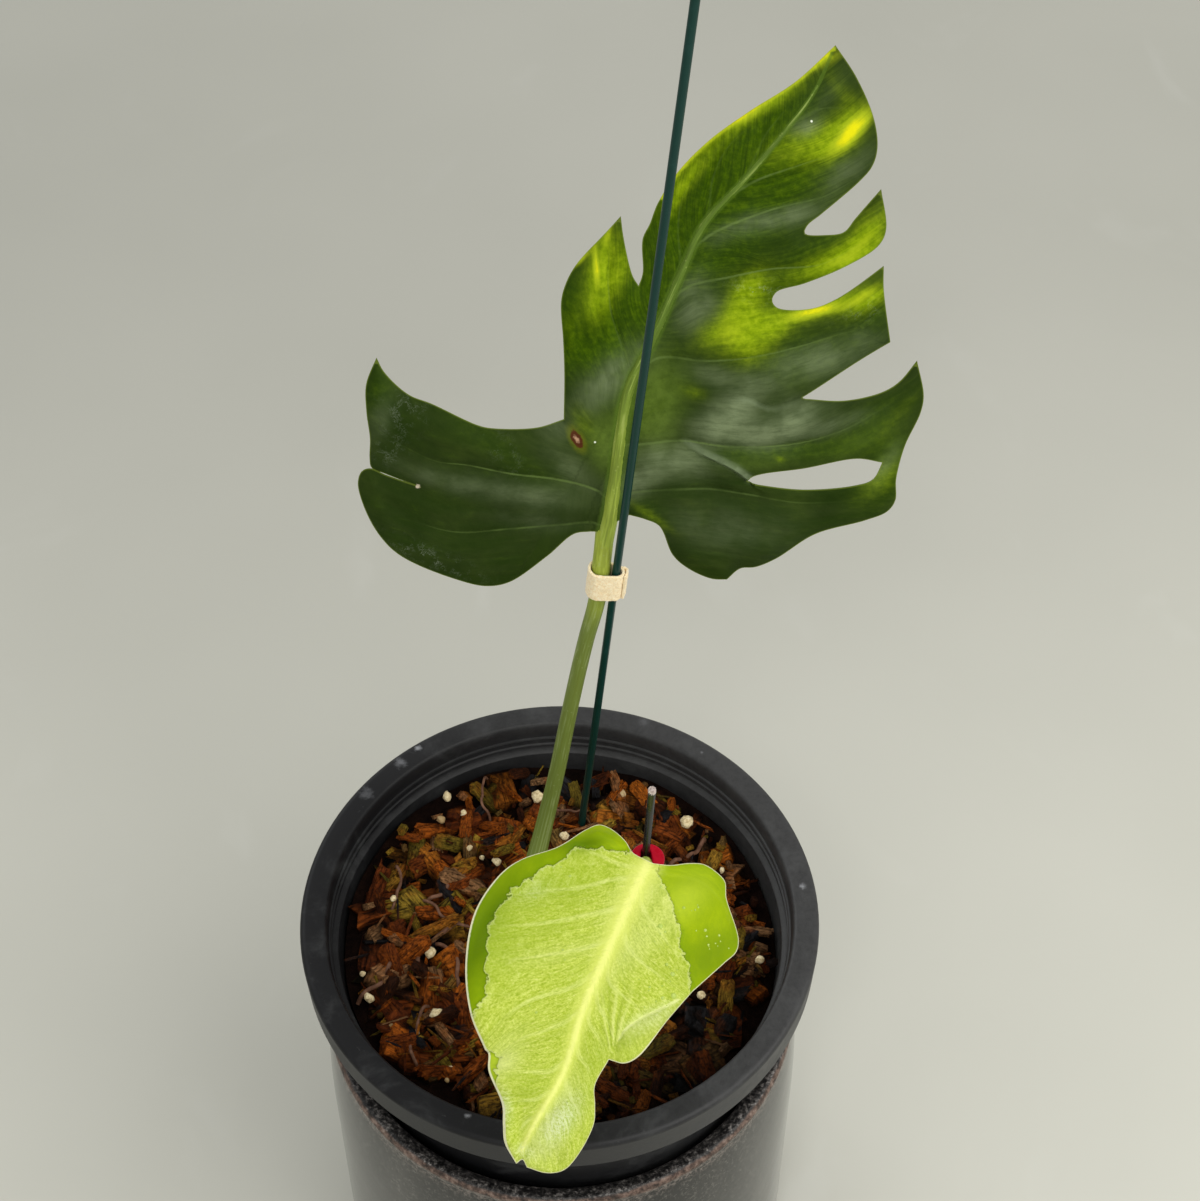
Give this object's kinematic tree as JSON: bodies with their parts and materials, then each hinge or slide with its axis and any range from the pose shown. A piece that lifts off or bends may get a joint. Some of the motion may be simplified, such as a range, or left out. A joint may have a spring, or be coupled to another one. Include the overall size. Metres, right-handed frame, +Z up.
{
  "type": "potted monstera",
  "caption": "Young split-leaf houseplant tied to a wire stake, in a bark-filled black grower's pot that stands in a glazed ceramic cover pot.",
  "frame": {"origin": "centre of the cover pot's underside", "axes": "+Z up, the viewer of the picture stands at -Y and looks along +Y and down, +X is the viewer's right"},
  "size_m": [0.2046, 0.2543, 0.5907],
  "materials": {
    "glaze": "glossy smoky grey-black glaze that breaks brown and speckled at the lip",
    "pot_plastic": "satin black moulded plastic with light scuffs",
    "bark_mix": "matt damp bark chips with cream perlite",
    "stem_green": "matt green with brown sheath scars",
    "stalk_green": "satin mid green",
    "leaf_dark": "waxy dark green with yellow-green patches",
    "stalk_pale": "satin yellow-green",
    "leaf_pale": "satin pale mint and bright green",
    "stake_coating": "semi-gloss dark teal green plastic coating on wire",
    "tie_fleece": "matt fleecy cream strap",
    "rod_coating": "glossy black plastic coating on wire, bright cut end",
    "clip_plastic": "glossy red plastic"
  },
  "bodies": {
    "root": {"cover_pot": "glaze", "nursery_pot": "pot_plastic", "substrate": "bark_mix", "stem": "stem_green", "main_petiole": "stalk_green", "main_leaf": "leaf_dark", "new_petiole": "stalk_pale", "new_leaf": "leaf_pale", "tall_stake": "stake_coating", "tie_band": "tie_fleece", "short_rod": "rod_coating", "ring_clip": "clip_plastic"}
  },
  "joints": []
}
